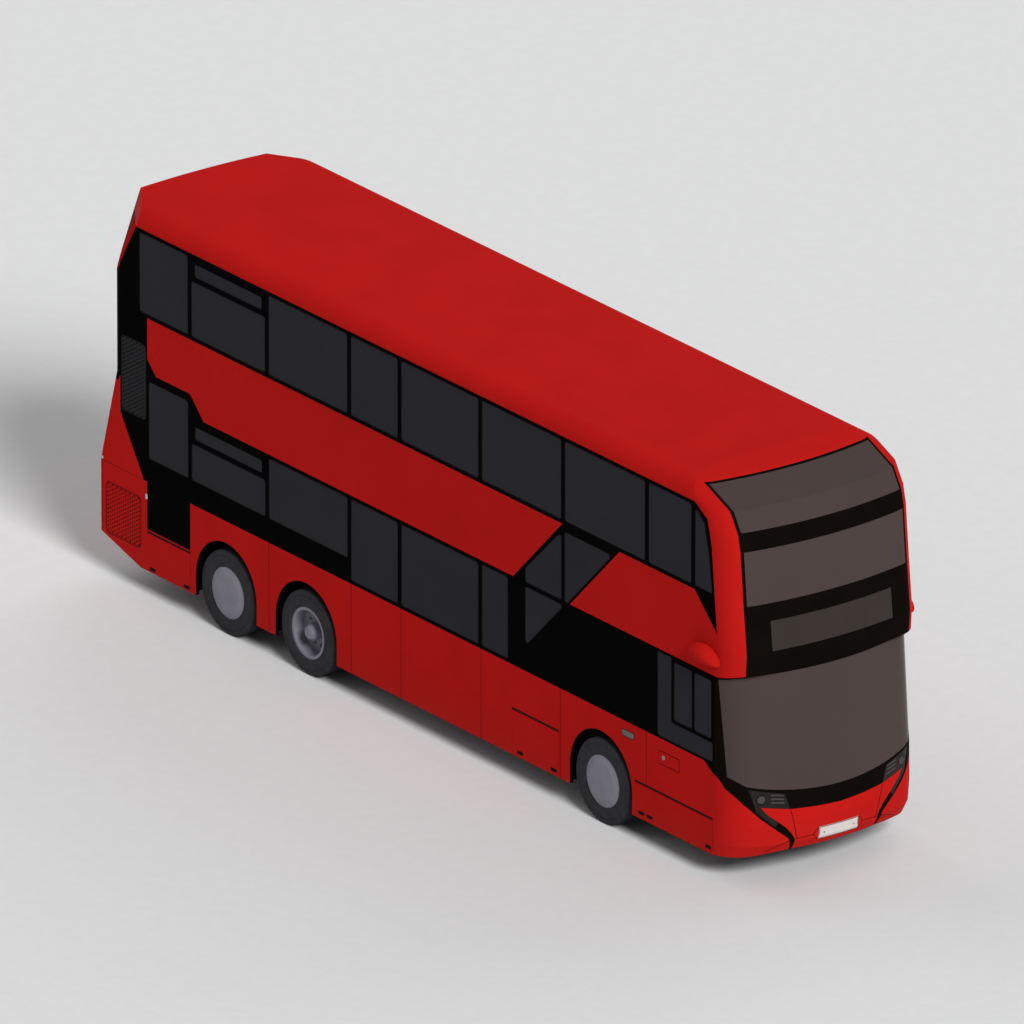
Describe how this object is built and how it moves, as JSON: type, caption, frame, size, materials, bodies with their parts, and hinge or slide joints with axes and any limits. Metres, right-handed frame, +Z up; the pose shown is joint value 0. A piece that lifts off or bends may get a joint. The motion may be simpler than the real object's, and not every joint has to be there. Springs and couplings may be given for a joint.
{
  "type": "double decker bus",
  "caption": "Double decker bus with red panels, black window bands, wrap-round windscreens, steered front wheels and hinged doors and flaps.",
  "frame": {"origin": "on the ground under the middle of the bus's bounding box", "axes": "+X forward to the nose, +Y to the bus's left, +Z up"},
  "size_m": [11.8203, 2.864, 4.55],
  "materials": {
    "red_paint": "gloss coach paint",
    "black_panel": "gloss black",
    "tinted_glass": "dark tinted glazing",
    "screen_glass": "tinted windscreen",
    "tyre": "rubber",
    "wheel": "painted steel wheel",
    "chassis": "satin chassis paint",
    "floor": "vinyl floor covering",
    "liner": "moulded liner",
    "seat": "woven moquette on moulded seats",
    "interior": "moulded interior trim",
    "rail": "powder coated tube",
    "head_lamp": "smoked lens",
    "tail_lamp": "red lens",
    "grille": "mesh panel",
    "plate": "blank reflective plate",
    "display": "dark display glass"
  },
  "bodies": {
    "body": {"chassis_frame": "chassis", "lower_floor": "floor", "upper_floor": "floor", "wheelhouses": "liner", "roof": "red_paint", "front_corners": "red_paint", "upper_mask": "black_panel", "lower_mask": "black_panel", "front_apron": "red_paint", "rear_lower": "red_paint", "rear_upper": "red_paint", "windscreens": "screen_glass", "rear_window": "tinted_glass", "display_panel": "display", "headlamps": "head_lamp", "tail_lamps": "tail_lamp", "side_grilles": "grille", "number_plates": "plate", "camera_pods": "red_paint", "staircase": "interior", "seats": "seat", "cab": "interior", "handrails": "rail", "engine_block": "chassis", "axles": "chassis", "skirt_right": "red_paint", "lower_band_right": "black_panel", "mid_panel_right": "red_paint", "upper_band_right": "black_panel", "glazing_right": "tinted_glass", "skirt_left": "red_paint", "lower_band_left": "black_panel", "mid_panel_left": "red_paint", "upper_band_left": "black_panel", "glazing_left": "tinted_glass"},
    "knuckle_right": {"knuckle_right": "chassis"},
    "wheel_front_right": {"tyre_front_right": "tyre", "rim_front_right": "wheel"},
    "wheel_drive_right": {"tyre_drive_right": "tyre", "rim_drive_right": "wheel"},
    "wheel_tag_right": {"tyre_tag_right": "tyre", "rim_tag_right": "wheel"},
    "knuckle_left": {"knuckle_left": "chassis"},
    "wheel_front_left": {"tyre_front_left": "tyre", "rim_front_left": "wheel"},
    "wheel_drive_left": {"tyre_drive_left": "tyre", "rim_drive_left": "wheel"},
    "wheel_tag_left": {"tyre_tag_left": "tyre", "rim_tag_left": "wheel"},
    "door_front": {"door_leaf_front": "black_panel", "door_glass_front": "tinted_glass"},
    "door_rear": {"door_leaf_rear": "black_panel", "door_glass_rear": "tinted_glass"},
    "flap_rear_right": {"flap_rear_right": "red_paint"},
    "flap_mid_right": {"flap_mid_right": "red_paint"},
    "flap_front_right": {"flap_front_right": "red_paint"},
    "filler_flap_right": {"filler_flap_right": "red_paint"},
    "engine_cover": {"engine_cover": "red_paint"}
  },
  "joints": [
    {"name": "steer_right", "type": "hinge", "parent": "body", "child": "knuckle_right", "pos_m": [3.2875, -0.9, 0.4925], "axis": [0, 0, 1], "range_deg": [-42, 42]},
    {"name": "steer_left", "type": "hinge", "parent": "body", "child": "knuckle_left", "pos_m": [3.2875, 0.9, 0.4925], "axis": [0, 0, 1], "range_deg": [-42, 42]},
    {"name": "spin_front_right", "type": "hinge", "parent": "knuckle_right", "child": "wheel_front_right", "pos_m": [3.2875, -1.1, 0.4925], "axis": [0, 1, 0], "continuous": true},
    {"name": "spin_drive_right", "type": "hinge", "parent": "body", "child": "wheel_drive_right", "pos_m": [-2.0925, -1.1, 0.4925], "axis": [0, 1, 0], "continuous": true},
    {"name": "spin_tag_right", "type": "hinge", "parent": "body", "child": "wheel_tag_right", "pos_m": [-3.5675, -1.1, 0.4925], "axis": [0, 1, 0], "continuous": true},
    {"name": "spin_front_left", "type": "hinge", "parent": "knuckle_left", "child": "wheel_front_left", "pos_m": [3.2875, 1.1, 0.4925], "axis": [0, 1, 0], "continuous": true},
    {"name": "spin_drive_left", "type": "hinge", "parent": "body", "child": "wheel_drive_left", "pos_m": [-2.0925, 1.1, 0.4925], "axis": [0, 1, 0], "continuous": true},
    {"name": "spin_tag_left", "type": "hinge", "parent": "body", "child": "wheel_tag_left", "pos_m": [-3.5675, 1.1, 0.4925], "axis": [0, 1, 0], "continuous": true},
    {"name": "door_front_swing", "type": "hinge", "parent": "body", "child": "door_front", "pos_m": [5.1415, 1.253, 1.3], "axis": [0, 0, 1], "range_deg": [0, 88]},
    {"name": "door_rear_swing", "type": "hinge", "parent": "body", "child": "door_rear", "pos_m": [4.1135, 1.253, 1.3], "axis": [0, 0, -1], "range_deg": [0, 88]},
    {"name": "flap_rear_right_lift", "type": "hinge", "parent": "body", "child": "flap_rear_right", "pos_m": [-4.6305, -1.262, 0.737], "axis": [-1, 0, 0], "range_deg": [0, 95]},
    {"name": "flap_mid_right_lift", "type": "hinge", "parent": "body", "child": "flap_mid_right", "pos_m": [2.0985, -1.262, 0.814], "axis": [-1, 0, 0], "range_deg": [0, 95]},
    {"name": "flap_front_right_lift", "type": "hinge", "parent": "body", "child": "flap_front_right", "pos_m": [4.598, -1.262, 0.687], "axis": [-1, 0, 0], "range_deg": [0, 95]},
    {"name": "filler_flap_right_lift", "type": "hinge", "parent": "body", "child": "filler_flap_right", "pos_m": [4.514, -1.262, 1.191], "axis": [-1, 0, 0], "range_deg": [0, 95]},
    {"name": "engine_cover_lift", "type": "hinge", "parent": "body", "child": "engine_cover", "pos_m": [-5.8905, 0, 1.269], "axis": [0, 1, 0], "range_deg": [0, 80]}
  ],
  "couplings": [
    {"joint": "steer_left", "follows": "steer_right", "ratio": 1}
  ]
}
